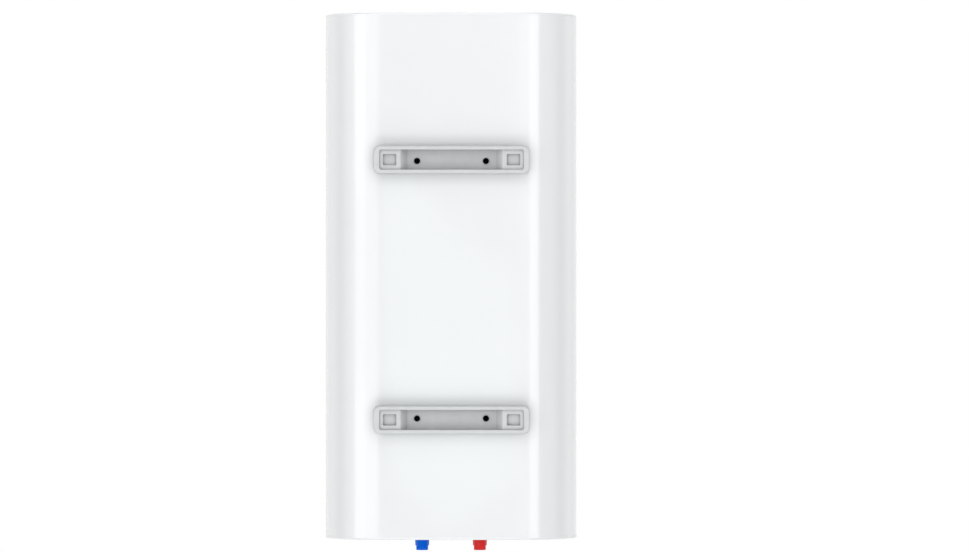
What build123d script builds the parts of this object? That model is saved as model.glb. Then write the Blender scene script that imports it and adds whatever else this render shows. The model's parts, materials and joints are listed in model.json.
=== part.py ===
import math
import os

from build123d import *

os.makedirs("parts", exist_ok=True)

# A flat, wall-hung storage water heater with two tanks side by side. Millimetres, +Z up, +Y towards the wall.
# The origin is the middle of the upper bracket, on the wall plane.

# Body
body_width = 434.0
body_depth = 240.0
body_height = 904.0
corner_radius = 100.0
casing_sheet = 0.8
cap_thickness = 4.0
cap_edge_radius = 3.0
cap_skirt_height = 12.0
cap_skirt_wall = 2.0

# Clearances
seat_gap = 0.2  # between fixed pieces that slide together
foam_gap = 0.3  # round the foam
weld_gap = 0.1  # between pieces that are welded or screwed tight
move_gap = 0.3  # round pieces that move
spindle_gap = 0.06  # round a turning spindle

# Wall brackets
bracket_drop = 253.0  # top of the body down to the upper bracket's middle
bracket_spacing = 445.0
bracket_length = 268.0
bracket_height = 48.0
bracket_depth = 20.0
bracket_sheet = 2.5
bracket_corner = 11.0
rim_end_width = 10.5
rim_side_width = 7.0
rim_edge_radius = 3.0
rim_lip_radius = 1.2
recess_corner = 4.0
pad_drop = 4.0
pad_length = 36.0
ramp_length = 12.0
ramp_bend = 5.0
pocket_width = 23.0
pocket_height = 19.5
pocket_corner = 2.0
pocket_depth = 5.0
pocket_spacing = 212.0
bracket_screw_spacing = 118.0
bracket_screw_offset = 2.0  # the screw row lies this much nearer the middle of the body
bracket_screw_radius = 2.5
bracket_screw_head_radius = 5.1
bracket_screw_head_height = 2.6
bracket_screw_socket = 1.6
bracket_screw_socket_depth = 1.5

# Hanger straps inside the casing
hanger_sheet = 3.0
hanger_height = 40.0
saddle_width = 30.0
hanger_nut_radius = 5.5
hanger_nut_height = 5.0

# Tanks
tank_radius = 98.0
tank_wall = 1.2
tank_spacing = 202.0
tank_top_cover = 22.0  # body top down to the tank's crown
tank_bottom_cover = 56.0  # body bottom up to the tank's crown
knuckle_radius = 25.0
crown_radius = 160.0
foam_rise = 72.0  # body bottom up to the foam
collar_radius = 36.0
collar_opening = 24.0
collar_drop = 8.0

# Pipes
nipple_spacing = 100.0
nipple_radius = 10.478  # half of a G 1/2 thread's 20.955
nipple_bore = 7.5
nipple_drop = 12.5  # below the body
nipple_inner_length = 14.0  # inside the tank
nipple_chamfer = 1.0
socket_wall = 1.7
socket_length = 6.0
standpipe_radius = 9.0
standpipe_wall = 2.0
standpipe_top_gap = 15.0
diffuser_height = 18.0
diffuser_bore = 8.5
diffuser_slot_width = 5.0
diffuser_slot_height = 7.0
crossover_radius = 10.0
crossover_wall = 1.5
crossover_bend = 22.0
crossover_reach = 17.0  # into each tank, past its side
crossover_drop = 86.0  # below the tank's crown
crossover_foot = 80.0  # above the tank's lower crown
crossover_offset = 25.0  # towards the front, clear of the standpipe

# Element flanges
gasket_thickness = 2.5
gasket_opening = 22.0
flange_thickness = 5.0
flange_bolt_circle = 30.0
flange_bolt_count = 6
flange_bolt_radius = 3.0
flange_bolt_head = 5.0  # half of the hexagon's width across flats
flange_bolt_head_height = 4.0
flange_bolt_grip = 8.0  # into the collar
element_radius = 4.0
element_leg_spacing = 24.0
element_height = 300.0
element_pin_radius = 2.0
element_pin_length = 10.0
element_stub = 4.0
anode_radius = 8.0
anode_length = 180.0
anode_stud_radius = 3.0
anode_stand = 20.0
anode_offset = 13.0
anode_nut = 5.0
anode_nut_height = 4.0
well_radius = 4.5
well_wall = 1.0
well_height = 230.0
well_offset = 14.0
well_mouth = 3.0

# Bottom cap fittings
post_radius = 5.0
post_offset = 64.0
cap_screw_radius = 2.4
cap_screw_head_radius = 4.5
cap_screw_head_height = 2.2
cap_screw_length = 14.0
grommet_wall = 2.9
grommet_flange = 2.0
grommet_flange_height = 1.5
bush_radius = 9.0
bush_bore = 3.5
bush_offset = 45.0

# Thread caps
thread_cap_gap = 0.1
thread_cap_radius = 11.85
thread_cap_flare = 2.0  # degrees, towards the open end
thread_cap_sides = 8
thread_cap_length = 20.5
thread_cap_end_radius = 10.4
thread_cap_end_height = 8.0
thread_cap_end_wall = 1.6
thread_cap_edge = 2.0
thread_cap_flute_radius = 2.0
thread_cap_flute_depth = 0.5

# Control panel on the front
panel_rise = 41.0  # body bottom up to the panel's middle
panel_length = 200.0
panel_height = 42.0
panel_thickness = 4.0
panel_edge_radius = 1.8
panel_neck_inset = 5.0
panel_neck_wall = 2.5
panel_neck_depth = 9.0
housing_wall = 2.0
housing_depth = 40.0
housing_margin = 2.0  # past the panel's neck
panel_boss_radius = 4.0
panel_boss_spacing = 164.0
panel_screw_radius = 1.5
panel_screw_head_radius = 3.0
panel_screw_head_height = 2.2
panel_screw_length = 10.0

# Knob, buttons and lamps
knob_radius = 13.0
knob_skirt_radius = 15.0
knob_skirt_height = 3.0
knob_height = 17.0
knob_taper = 4.0  # degrees
knob_edge_radius = 0.8
knob_flute_count = 12
knob_flute_radius = 4.5
knob_flute_depth = 0.8
knob_mark_width = 1.6
knob_mark_depth = 0.8
knob_rest_turn = 225.0  # where the pointer stands at rest, clockwise from the top
spindle_radius = 3.0
spindle_grip = 12.0
thermostat_width = 34.0
thermostat_height = 26.0
thermostat_depth = 24.0
button_radius = 8.0
button_proud = 2.0
button_travel = 2.5
button_collar = 1.0
button_collar_height = 1.0
button_edge_radius = 0.8
button_inner_x = 34.0
button_spacing = 24.0
board_sheet = 1.6
board_height = 24.0
board_stand = 12.0
board_length = 52.0
board_middle = 50.0
board_post_radius = 2.5
switch_size = 12.0
lens_radius = 2.5
lens_proud = 0.6
lens_flange = 1.0
lens_flange_height = 1.2
lens_count = 3
lens_spacing = 14.0
lamp_radius = 2.0

# Parts on the back of the housing
cutout_width = 30.0
cutout_height = 20.0
cutout_depth = 24.0
cutout_x = 50.0
reset_radius = 3.0
reset_length = 6.0
reset_proud = 3.0
reset_travel = 2.0
terminal_width = 40.0
terminal_height = 18.0
terminal_depth = 16.0
terminal_x = -50.0
terminal_pocket_count = 4
terminal_pocket_radius = 2.6
terminal_pocket_depth = 6.0
capillary_radius = 1.0
capillary_bend = 10.0
bulb_radius = 3.0
bulb_length = 90.0
lead_radius = 1.2
lead_bend = 6.0
lead_stand = 14.0  # behind the terminal block
lead_rise = 13.0  # body bottom up to the leads' level run

# Places worked out from the sizes
back_y = -bracket_depth
mid_y = back_y - body_depth / 2
front_y = back_y - body_depth
top_z = bracket_drop
bottom_z = top_z - body_height
tank_top_z = top_z - tank_top_cover
tank_bottom_z = bottom_z + tank_bottom_cover
collar_z = tank_bottom_z - collar_drop
flange_top_z = collar_z - gasket_thickness
flange_z = flange_top_z - flange_thickness
panel_z = bottom_z + panel_rise
panel_face_y = front_y - panel_thickness
inner_back_y = back_y - casing_sheet
inner_front_y = front_y + casing_sheet
housing_back_y = inner_front_y + housing_depth
recess_length = bracket_length - 2 * rim_end_width
recess_height = bracket_height - 2 * rim_side_width
channel_depth = bracket_depth - bracket_sheet
tank_x = tank_spacing / 2
hanger_length = tank_spacing + saddle_width
nipple_x = nipple_spacing / 2
nipple_reach = abs(tank_x - nipple_x)  # from the tank's axis to the nipple

sides = {"cold": 1, "hot": -1}
brackets = {"upper": (0.0, -1), "lower": (-bracket_spacing, 1)}
standing = (Align.CENTER, Align.CENTER, Align.MIN)
hanging = (Align.CENTER, Align.CENTER, Align.MAX)


def upright(y, z, x=0.0):
    # a plane that faces the front, with x to the right and z up
    return Plane(origin=(x, y, z), x_dir=(1, 0, 0), z_dir=(0, -1, 0))


def level(z, x=0.0, y=mid_y):
    return Plane(origin=(x, y, z))


def crown_sag(radius):
    # how far a tank's end has curved away at this radius from its axis
    return crown_radius - math.sqrt(crown_radius**2 - radius**2)


nipple_top_z = tank_bottom_z + crown_sag(nipple_reach) + tank_wall + nipple_inner_length


def save(piece, name):
    piece.label = name
    export_step(piece, f"parts/{name}.step")


def body_block(inset, z, height):
    # the body's outline, drawn in by inset and raised from z
    with BuildPart() as block:
        with BuildSketch(level(z)):
            RectangleRounded(body_width - 2 * inset, body_depth - 2 * inset, corner_radius - inset)
        extrude(amount=height)
    return block.part


def tank_body(side, inset):
    # a closed tank with dished ends, drawn in by inset
    radius = tank_radius - inset
    knuckle = knuckle_radius - inset
    crown = crown_radius - inset
    turn = math.degrees(math.asin((radius - knuckle) / (crown - knuckle)))
    with BuildPart() as tank:
        with BuildSketch(upright(mid_y, 0, side * tank_x)):
            with BuildLine():
                lower_crown = JernArc((0, tank_bottom_z + inset), (1, 0), crown, turn)
                lower_knuckle = JernArc(lower_crown @ 1, lower_crown % 1, knuckle, 90 - turn)
                upper_end = (radius, tank_top_z + tank_bottom_z - (lower_knuckle @ 1).Y)
                wall = Line(lower_knuckle @ 1, upper_end)
                upper_knuckle = JernArc(wall @ 1, (0, 1), knuckle, 90 - turn)
                upper_crown = JernArc(upper_knuckle @ 1, upper_knuckle % 1, crown, turn)
                Line(upper_crown @ 1, lower_crown @ 0)
            make_face()
        revolve(axis=Axis((side * tank_x, mid_y, 0), (0, 0, 1)))
    return tank.part


def end_cap(outer_z, inward):
    # a lid flush with the casing, with a skirt that plugs into it
    face = Plane(origin=(0, mid_y, outer_z), x_dir=(1, 0, 0), z_dir=(0, 0, inward))
    outer_inset = casing_sheet + seat_gap
    inner_inset = outer_inset + cap_skirt_wall
    with BuildPart() as cap:
        with BuildSketch(face):
            RectangleRounded(body_width, body_depth, corner_radius)
        extrude(amount=cap_thickness)
        rim = cap.faces().sort_by(Axis.Z)[0 if inward > 0 else -1]
        fillet(rim.edges(), cap_edge_radius)
        with BuildSketch(face.offset(cap_thickness)):
            RectangleRounded(body_width - 2 * outer_inset, body_depth - 2 * outer_inset, corner_radius - outer_inset)
            RectangleRounded(
                body_width - 2 * inner_inset,
                body_depth - 2 * inner_inset,
                corner_radius - inner_inset,
                mode=Mode.SUBTRACT,
            )
        extrude(amount=cap_skirt_height)
    return cap.part


# Outer casing: one wrapped sheet with a window for the control panel
with BuildPart() as outer_casing:
    casing_height = body_height - 2 * cap_thickness
    add(body_block(0, bottom_z + cap_thickness, casing_height))
    add(body_block(casing_sheet, bottom_z + cap_thickness, casing_height), mode=Mode.SUBTRACT)
    with BuildSketch(upright(front_y, panel_z)):
        SlotOverall(
            panel_length - 2 * panel_neck_inset + 2 * seat_gap,
            panel_height - 2 * panel_neck_inset + 2 * seat_gap,
        )
    extrude(amount=-2 * casing_sheet, mode=Mode.SUBTRACT)
    for bracket_z, inward in brackets.values():
        with BuildSketch(upright(back_y, bracket_z + inward * bracket_screw_offset)):
            with GridLocations(bracket_screw_spacing, 0, 2, 1):
                Circle(bracket_screw_radius + seat_gap)
        extrude(amount=2 * casing_sheet, mode=Mode.SUBTRACT)
save(outer_casing.part, "outer_casing")

# Top cap
with BuildPart() as top_cap:
    add(end_cap(top_z, -1))
save(top_cap.part, "top_cap")

# Bottom cap, with holes for the pipes, the cable and its own screws
post_places = [(s * tank_x, mid_y + t * post_offset) for s in (1, -1) for t in (1, -1)]
grommet_radius = nipple_radius + seat_gap + grommet_wall
with BuildPart() as bottom_cap:
    add(end_cap(bottom_z, 1))
    with BuildSketch(level(bottom_z)):
        with GridLocations(nipple_spacing, 0, 2, 1):
            Circle(grommet_radius + weld_gap)
        with Locations((0, bush_offset)):
            Circle(bush_radius + weld_gap)
    extrude(amount=cap_thickness, mode=Mode.SUBTRACT)
    with Locations(*[(x, y, bottom_z) for x, y in post_places]):
        Cylinder(cap_screw_radius + seat_gap, cap_thickness, align=standing, mode=Mode.SUBTRACT)
        Cylinder(
            cap_screw_head_radius + move_gap, cap_screw_head_height, align=standing, mode=Mode.SUBTRACT
        )
save(bottom_cap.part, "bottom_cap")

# Posts between the tanks' lower ends and the bottom cap
with BuildPart() as cap_posts:
    with Locations(*[(x, y, bottom_z + cap_thickness) for x, y in post_places]):
        Cylinder(post_radius, tank_bottom_cover + knuckle_radius, align=standing)
        Cylinder(
            cap_screw_radius + weld_gap,
            cap_screw_length + seat_gap - (cap_thickness - cap_screw_head_height),
            align=standing,
            mode=Mode.SUBTRACT,
        )
    for side in sides.values():
        add(tank_body(side, -weld_gap), mode=Mode.SUBTRACT)
save(cap_posts.part, "cap_posts")

# Screws of the bottom cap
with BuildPart() as bottom_cap_screws:
    with Locations(*[(x, y, bottom_z + cap_screw_head_height) for x, y in post_places]):
        Cylinder(cap_screw_head_radius, cap_screw_head_height - seat_gap, align=hanging)
        Cylinder(cap_screw_radius, cap_screw_length, align=standing)
save(bottom_cap_screws.part, "bottom_cap_screws")


def bracket_recess(grow, bracket_z):
    # the space inside a bracket's rim: shallow end pads, ramps and a deep channel, enlarged by grow
    half = recess_length / 2
    ramp_top = half - pad_length
    ramp_foot = ramp_top - ramp_length
    above = 2 * bracket_sheet
    with BuildPart() as recess:
        with BuildSketch(level(bracket_z, y=0)) as section:
            Polygon(
                (-half, above),
                (-half, -pad_drop),
                (-ramp_top, -pad_drop),
                (-ramp_foot, -channel_depth),
                (ramp_foot, -channel_depth),
                (ramp_top, -pad_drop),
                (half, -pad_drop),
                (half, above),
                align=None,
            )
            ramp_ends = section.vertices().filter_by(lambda v: abs(v.X) < half - pad_length / 2)
            fillet(ramp_ends, ramp_bend)
            if grow > 0:
                offset(amount=grow, kind=Kind.INTERSECTION)
        extrude(amount=recess_height / 2 + grow, both=True)
        with BuildSketch(upright(above + grow, bracket_z)):
            RectangleRounded(recess_length + 2 * grow, recess_height + 2 * grow, recess_corner + grow)
        extrude(amount=bracket_depth + above + 2 * grow, mode=Mode.INTERSECT)
    return recess.part


# Wall brackets: pressed trays with hook pockets in the end pads and a channel that is screwed to the hanger
for name, (bracket_z, inward) in brackets.items():
    skirt_reach = bracket_depth + corner_radius
    with BuildPart() as hollow:
        with BuildSketch(upright(-bracket_sheet, bracket_z)):
            RectangleRounded(
                bracket_length - 2 * bracket_sheet,
                bracket_height - 2 * bracket_sheet,
                bracket_corner - bracket_sheet,
            )
        extrude(amount=skirt_reach)
        add(bracket_recess(bracket_sheet, bracket_z), mode=Mode.SUBTRACT)
        with BuildSketch(upright(0, bracket_z)):
            with GridLocations(pocket_spacing, 0, 2, 1):
                RectangleRounded(
                    pocket_width + 2 * bracket_sheet,
                    pocket_height + 2 * bracket_sheet,
                    pocket_corner + bracket_sheet,
                )
        extrude(amount=pad_drop + pocket_depth + bracket_sheet, mode=Mode.SUBTRACT)
    with BuildPart() as bracket:
        with BuildSketch(upright(0, bracket_z)):
            RectangleRounded(bracket_length, bracket_height, bracket_corner)
        extrude(amount=skirt_reach)
        fillet(bracket.faces().sort_by(Axis.Y)[-1].edges(), rim_edge_radius)
        add(bracket_recess(0, bracket_z), mode=Mode.SUBTRACT)
        rim = bracket.faces().sort_by(Axis.Y)[-1]
        fillet(rim.inner_wires()[0].edges(), rim_lip_radius)
        add(hollow.part, mode=Mode.SUBTRACT)
        add(body_block(0, bottom_z, body_height), mode=Mode.SUBTRACT)
        with BuildSketch(upright(0, bracket_z)):
            with GridLocations(pocket_spacing, 0, 2, 1):
                RectangleRounded(pocket_width, pocket_height, pocket_corner)
        extrude(amount=pad_drop + pocket_depth, mode=Mode.SUBTRACT)
        with BuildSketch(upright(-channel_depth, bracket_z + inward * bracket_screw_offset)):
            with GridLocations(bracket_screw_spacing, 0, 2, 1):
                Circle(bracket_screw_radius + seat_gap)
        extrude(amount=bracket_sheet, mode=Mode.SUBTRACT)
    save(bracket.part, f"{name}_bracket")

    # Black button-head screws in the channel
    shank = bracket_sheet + casing_sheet + weld_gap + hanger_sheet + hanger_nut_height
    head_plane = upright(-channel_depth, bracket_z + inward * bracket_screw_offset)
    with BuildPart() as bracket_screws:
        with BuildSketch(head_plane):
            with GridLocations(bracket_screw_spacing, 0, 2, 1):
                Circle(bracket_screw_head_radius)
        extrude(amount=-bracket_screw_head_height)
        head_edges = bracket_screws.faces().group_by(Axis.Y)[-1].edges()
        fillet(head_edges, bracket_screw_head_height / 2)
        with BuildSketch(head_plane.offset(-bracket_screw_head_height)):
            with GridLocations(bracket_screw_spacing, 0, 2, 1):
                RegularPolygon(bracket_screw_socket, 6, major_radius=False)
        extrude(amount=bracket_screw_socket_depth, mode=Mode.SUBTRACT)
        with BuildSketch(head_plane):
            with GridLocations(bracket_screw_spacing, 0, 2, 1):
                Circle(bracket_screw_radius)
        extrude(amount=shank)
    save(bracket_screws.part, f"{name}_bracket_screws")


def hanger_strap(bracket_z, inward, grow):
    # a strap behind the casing with two saddles on the tanks and two nuts, enlarged by grow
    strap_y = inner_back_y - weld_gap
    screw_plane = upright(strap_y, bracket_z + inward * bracket_screw_offset)
    with BuildPart() as strap:
        with BuildSketch(upright(strap_y + grow, bracket_z)):
            Rectangle(hanger_length + 2 * grow, hanger_height + 2 * grow)
        extrude(amount=hanger_sheet + 2 * grow)
        with BuildSketch(upright(strap_y, bracket_z)):
            with GridLocations(tank_spacing, 0, 2, 1):
                Rectangle(saddle_width + 2 * grow, hanger_height + 2 * grow)
        extrude(amount=strap_y - mid_y)
        with BuildSketch(screw_plane):
            with GridLocations(bracket_screw_spacing, 0, 2, 1):
                Circle(hanger_nut_radius + grow)
        extrude(amount=hanger_sheet + hanger_nut_height + grow)
        for side in sides.values():
            add(tank_body(side, -weld_gap), mode=Mode.SUBTRACT)
        if grow == 0:
            with BuildSketch(screw_plane):
                with GridLocations(bracket_screw_spacing, 0, 2, 1):
                    Circle(bracket_screw_radius + weld_gap)
            extrude(amount=hanger_sheet + hanger_nut_height, mode=Mode.SUBTRACT)
    return strap.part


# Hanger straps, welded to both tanks
for name, (bracket_z, inward) in brackets.items():
    with BuildPart() as hanger:
        add(hanger_strap(bracket_z, inward, 0))
    save(hanger.part, f"{name}_hanger")


def crossover_tube(radius, bore):
    # from the top of the cold tank, down inside the hot tank
    tube_y = mid_y - crossover_offset
    tube_z = tank_top_z - crossover_drop
    side_x = tank_x - math.sqrt(tank_radius**2 - crossover_offset**2)
    leg_x = side_x + crossover_reach + crossover_bend
    with BuildPart() as tube:
        with BuildLine() as route:
            FilletPolyline(
                (side_x + crossover_reach, tube_y, tube_z),
                (-leg_x, tube_y, tube_z),
                (-leg_x, tube_y, tank_bottom_z + crossover_foot),
                radius=crossover_bend,
            )
        with BuildSketch(Plane(origin=route.line @ 0, z_dir=route.line % 0)):
            Circle(radius)
            if bore > 0:
                Circle(bore, mode=Mode.SUBTRACT)
        sweep()
    return tube.part


# Crossover pipe
with BuildPart() as crossover_pipe:
    add(crossover_tube(crossover_radius, crossover_radius - crossover_wall))
save(crossover_pipe.part, "crossover_pipe")

# Foam between the tanks and the casing
with BuildPart() as insulation_foam:
    wide = casing_sheet + foam_gap
    narrow = casing_sheet + seat_gap + cap_skirt_wall + foam_gap
    foam_z = bottom_z + foam_rise
    skirt_z = top_z - cap_thickness - cap_skirt_height
    add(body_block(wide, foam_z, skirt_z - foam_gap - foam_z))
    add(body_block(narrow, foam_z, top_z - cap_thickness - foam_gap - foam_z))
    for side in sides.values():
        add(tank_body(side, -foam_gap), mode=Mode.SUBTRACT)
    for bracket_z, inward in brackets.values():
        add(hanger_strap(bracket_z, inward, foam_gap), mode=Mode.SUBTRACT)
    add(crossover_tube(crossover_radius + foam_gap, 0), mode=Mode.SUBTRACT)
    with Locations(*[(x, y, bottom_z) for x, y in post_places]):
        Cylinder(post_radius + foam_gap, body_height / 2, align=standing, mode=Mode.SUBTRACT)
    with Locations((nipple_x, mid_y, bottom_z), (-nipple_x, mid_y, bottom_z)):
        Cylinder(nipple_radius + foam_gap, nipple_top_z - bottom_z, align=standing, mode=Mode.SUBTRACT)
save(insulation_foam.part, "insulation_foam")

# Tanks: thin shells with a thick collar for the element flange
for name, side in sides.items():
    collar_top = collar_drop + crown_sag(collar_radius) + tank_wall
    collar_plane = level(collar_z, side * tank_x)
    with BuildPart() as tank:
        add(tank_body(side, 0))
        add(tank_body(side, tank_wall), mode=Mode.SUBTRACT)
        with BuildSketch(collar_plane):
            Circle(collar_radius)
        extrude(amount=collar_top)
        with BuildSketch(collar_plane):
            Circle(collar_opening)
        extrude(amount=collar_top, mode=Mode.SUBTRACT)
        with BuildSketch(collar_plane):
            with PolarLocations(flange_bolt_circle, flange_bolt_count):
                Circle(flange_bolt_radius + weld_gap)
        extrude(amount=flange_bolt_grip, mode=Mode.SUBTRACT)
        with BuildSketch(level(collar_z, side * nipple_x)):
            Circle(nipple_radius + weld_gap)
        extrude(amount=nipple_top_z - collar_z, mode=Mode.SUBTRACT)
        add(crossover_tube(crossover_radius + weld_gap, 0), mode=Mode.SUBTRACT)
    save(tank.part, f"{name}_tank")

# Nipples, welded into the tanks' lower ends
for name, side in sides.items():
    with BuildPart() as nipple:
        with BuildSketch(level(bottom_z - nipple_drop, side * nipple_x)):
            Circle(nipple_radius)
            Circle(nipple_bore, mode=Mode.SUBTRACT)
        extrude(amount=nipple_top_z - bottom_z + nipple_drop)
        foot = nipple.faces().sort_by(Axis.Z)[0].outer_wire()
        chamfer(foot.edges(), nipple_chamfer)
    save(nipple.part, f"{name}_nipple")

# Diffuser on the cold nipple, which spreads the water sideways
socket_radius = nipple_radius + weld_gap
with BuildPart(level(nipple_top_z, nipple_x)) as inlet_diffuser:
    with Locations((0, 0, -socket_length)):
        Cylinder(socket_radius + socket_wall, socket_length + diffuser_height, align=standing)
        Cylinder(socket_radius, socket_length, align=standing, mode=Mode.SUBTRACT)
    Cylinder(diffuser_bore, diffuser_height - socket_wall, align=standing, mode=Mode.SUBTRACT)
    with Locations((0, 0, diffuser_height / 2)):
        Box(2 * body_width, diffuser_slot_width, diffuser_slot_height, mode=Mode.SUBTRACT)
        Box(diffuser_slot_width, 2 * body_width, diffuser_slot_height, mode=Mode.SUBTRACT)
save(inlet_diffuser.part, "inlet_diffuser")

# Standpipe on the hot nipple, which draws from the top of the tank
standpipe_top_z = tank_top_z - tank_wall - crown_sag(nipple_reach) - standpipe_top_gap
with BuildPart(level(nipple_top_z, -nipple_x)) as outlet_standpipe:
    with Locations((0, 0, -socket_length)):
        Cylinder(socket_radius + socket_wall, 2 * socket_length, align=standing)
        Cylinder(socket_radius, socket_length, align=standing, mode=Mode.SUBTRACT)
    Cylinder(standpipe_radius, standpipe_top_z - nipple_top_z, align=standing)
    Cylinder(
        standpipe_radius - standpipe_wall,
        standpipe_top_z - nipple_top_z,
        align=standing,
        mode=Mode.SUBTRACT,
    )
save(outlet_standpipe.part, "outlet_standpipe")

# Rubber grommets round the nipples, in the bottom cap
with BuildPart() as pipe_grommets:
    with BuildSketch(level(bottom_z)):
        with GridLocations(nipple_spacing, 0, 2, 1):
            Circle(grommet_radius)
    extrude(amount=cap_thickness)
    with BuildSketch(level(bottom_z - grommet_flange_height)):
        with GridLocations(nipple_spacing, 0, 2, 1):
            Circle(grommet_radius + grommet_flange)
    extrude(amount=grommet_flange_height)
    with BuildSketch(level(bottom_z - grommet_flange_height)):
        with GridLocations(nipple_spacing, 0, 2, 1):
            Circle(nipple_radius + seat_gap)
    extrude(amount=grommet_flange_height + cap_thickness, mode=Mode.SUBTRACT)
save(pipe_grommets.part, "pipe_grommets")

# Cable bush, in the bottom cap
with BuildPart(level(bottom_z, 0, mid_y + bush_offset)) as cable_bush:
    Cylinder(bush_radius, cap_thickness, align=standing)
    Cylinder(bush_radius + grommet_flange, grommet_flange_height, align=hanging)
    with Locations((0, 0, cap_thickness)):
        Cylinder(bush_radius + grommet_flange, grommet_flange_height, align=standing)
    with Locations((0, 0, -grommet_flange_height)):
        Cylinder(bush_bore, cap_thickness + 2 * grommet_flange_height, align=standing, mode=Mode.SUBTRACT)
save(cable_bush.part, "cable_bush")

# Element flange, gasket, bolts, element, anode and thermowell of each tank
leg_x = element_leg_spacing / 2
for name, side in sides.items():
    with BuildPart(level(collar_z, side * tank_x)) as gasket:
        Cylinder(collar_radius, gasket_thickness, align=hanging)
        Cylinder(gasket_opening, gasket_thickness, align=hanging, mode=Mode.SUBTRACT)
        with PolarLocations(flange_bolt_circle, flange_bolt_count):
            Cylinder(flange_bolt_radius + seat_gap, gasket_thickness, align=hanging, mode=Mode.SUBTRACT)
    save(gasket.part, f"{name}_flange_gasket")

    with BuildPart(level(flange_top_z, side * tank_x)) as flange:
        Cylinder(collar_radius, flange_thickness, align=hanging)
        with PolarLocations(flange_bolt_circle, flange_bolt_count):
            Cylinder(flange_bolt_radius + seat_gap, flange_thickness, align=hanging, mode=Mode.SUBTRACT)
        with Locations((leg_x, 0), (-leg_x, 0)):
            Cylinder(element_radius + weld_gap, flange_thickness, align=hanging, mode=Mode.SUBTRACT)
        with Locations((0, anode_offset)):
            Cylinder(anode_stud_radius + weld_gap, flange_thickness, align=hanging, mode=Mode.SUBTRACT)
        with Locations((0, -well_offset)):
            Cylinder(well_radius + weld_gap, flange_thickness, align=hanging, mode=Mode.SUBTRACT)
    save(flange.part, f"{name}_flange")

    with BuildPart() as flange_bolts:
        with BuildSketch(level(flange_z, side * tank_x)):
            with PolarLocations(flange_bolt_circle, flange_bolt_count):
                RegularPolygon(flange_bolt_head, 6, major_radius=False)
        extrude(amount=-flange_bolt_head_height)
        with BuildSketch(level(flange_z, side * tank_x)):
            with PolarLocations(flange_bolt_circle, flange_bolt_count):
                Circle(flange_bolt_radius)
        extrude(amount=flange_thickness + gasket_thickness + flange_bolt_grip - seat_gap)
    save(flange_bolts.part, f"{name}_flange_bolts")

    stub_z = flange_z - element_stub
    turn_z = flange_top_z + element_height
    with BuildPart() as element:
        with BuildLine(upright(mid_y, 0, side * tank_x)) as hairpin:
            rise = Line((leg_x, stub_z), (leg_x, turn_z))
            bend = JernArc(rise @ 1, (0, 1), leg_x, 180)
            Line(bend @ 1, (-leg_x, stub_z))
        with BuildSketch(level(stub_z, side * tank_x + leg_x)):
            Circle(element_radius)
        sweep(path=hairpin.line)
        with BuildSketch(level(stub_z, side * tank_x)):
            with GridLocations(element_leg_spacing, 0, 2, 1):
                Circle(element_pin_radius)
        extrude(amount=-element_pin_length)
    save(element.part, f"{name}_element")

    with BuildPart(level(flange_z, side * tank_x, mid_y + anode_offset)) as anode:
        with BuildSketch(level(flange_z, side * tank_x, mid_y + anode_offset)):
            RegularPolygon(anode_nut, 6, major_radius=False)
        extrude(amount=-anode_nut_height)
        Cylinder(anode_stud_radius, flange_thickness + anode_stand, align=standing)
        with Locations((0, 0, flange_thickness + anode_stand)):
            Cylinder(anode_radius, anode_length, align=standing)
    save(anode.part, f"{name}_anode")

    with BuildPart(level(flange_z - well_mouth, side * tank_x, mid_y - well_offset)) as well:
        Cylinder(well_radius, well_height, align=standing)
        Cylinder(well_radius - well_wall, well_height - well_wall, align=standing, mode=Mode.SUBTRACT)
    save(well.part, f"{name}_thermowell")

# Thread caps: faceted sleeves with a fluted closed end
for name, side in sides.items():
    cap_top_z = bottom_z - grommet_flange_height - move_gap
    cap_foot_z = cap_top_z - thread_cap_length
    sleeve_z = cap_foot_z + thread_cap_end_height
    flute_circle = thread_cap_end_radius + thread_cap_flute_radius - thread_cap_flute_depth
    with BuildPart() as thread_cap:
        with BuildSketch(level(cap_foot_z, side * nipple_x)):
            Circle(thread_cap_end_radius)
            with PolarLocations(flute_circle, thread_cap_sides):
                Circle(thread_cap_flute_radius, mode=Mode.SUBTRACT)
        extrude(amount=thread_cap_end_height)
        fillet(thread_cap.faces().sort_by(Axis.Z)[0].edges(), thread_cap_edge / 2)
        with BuildSketch(level(sleeve_z, side * nipple_x)):
            RegularPolygon(thread_cap_radius, thread_cap_sides)
        extrude(amount=cap_top_z - sleeve_z, taper=-thread_cap_flare)
        with BuildSketch(level(bottom_z - nipple_drop - move_gap, side * nipple_x)):
            Circle(nipple_radius + thread_cap_gap)
        extrude(amount=nipple_drop, mode=Mode.SUBTRACT)
        with BuildSketch(level(cap_foot_z + thread_cap_end_wall, side * nipple_x)):
            Circle(thread_cap_end_radius - thread_cap_flute_depth - thread_cap_end_wall)
        extrude(amount=thread_cap_end_height, mode=Mode.SUBTRACT)
    save(thread_cap.part, f"{name}_thread_cap")

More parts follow.
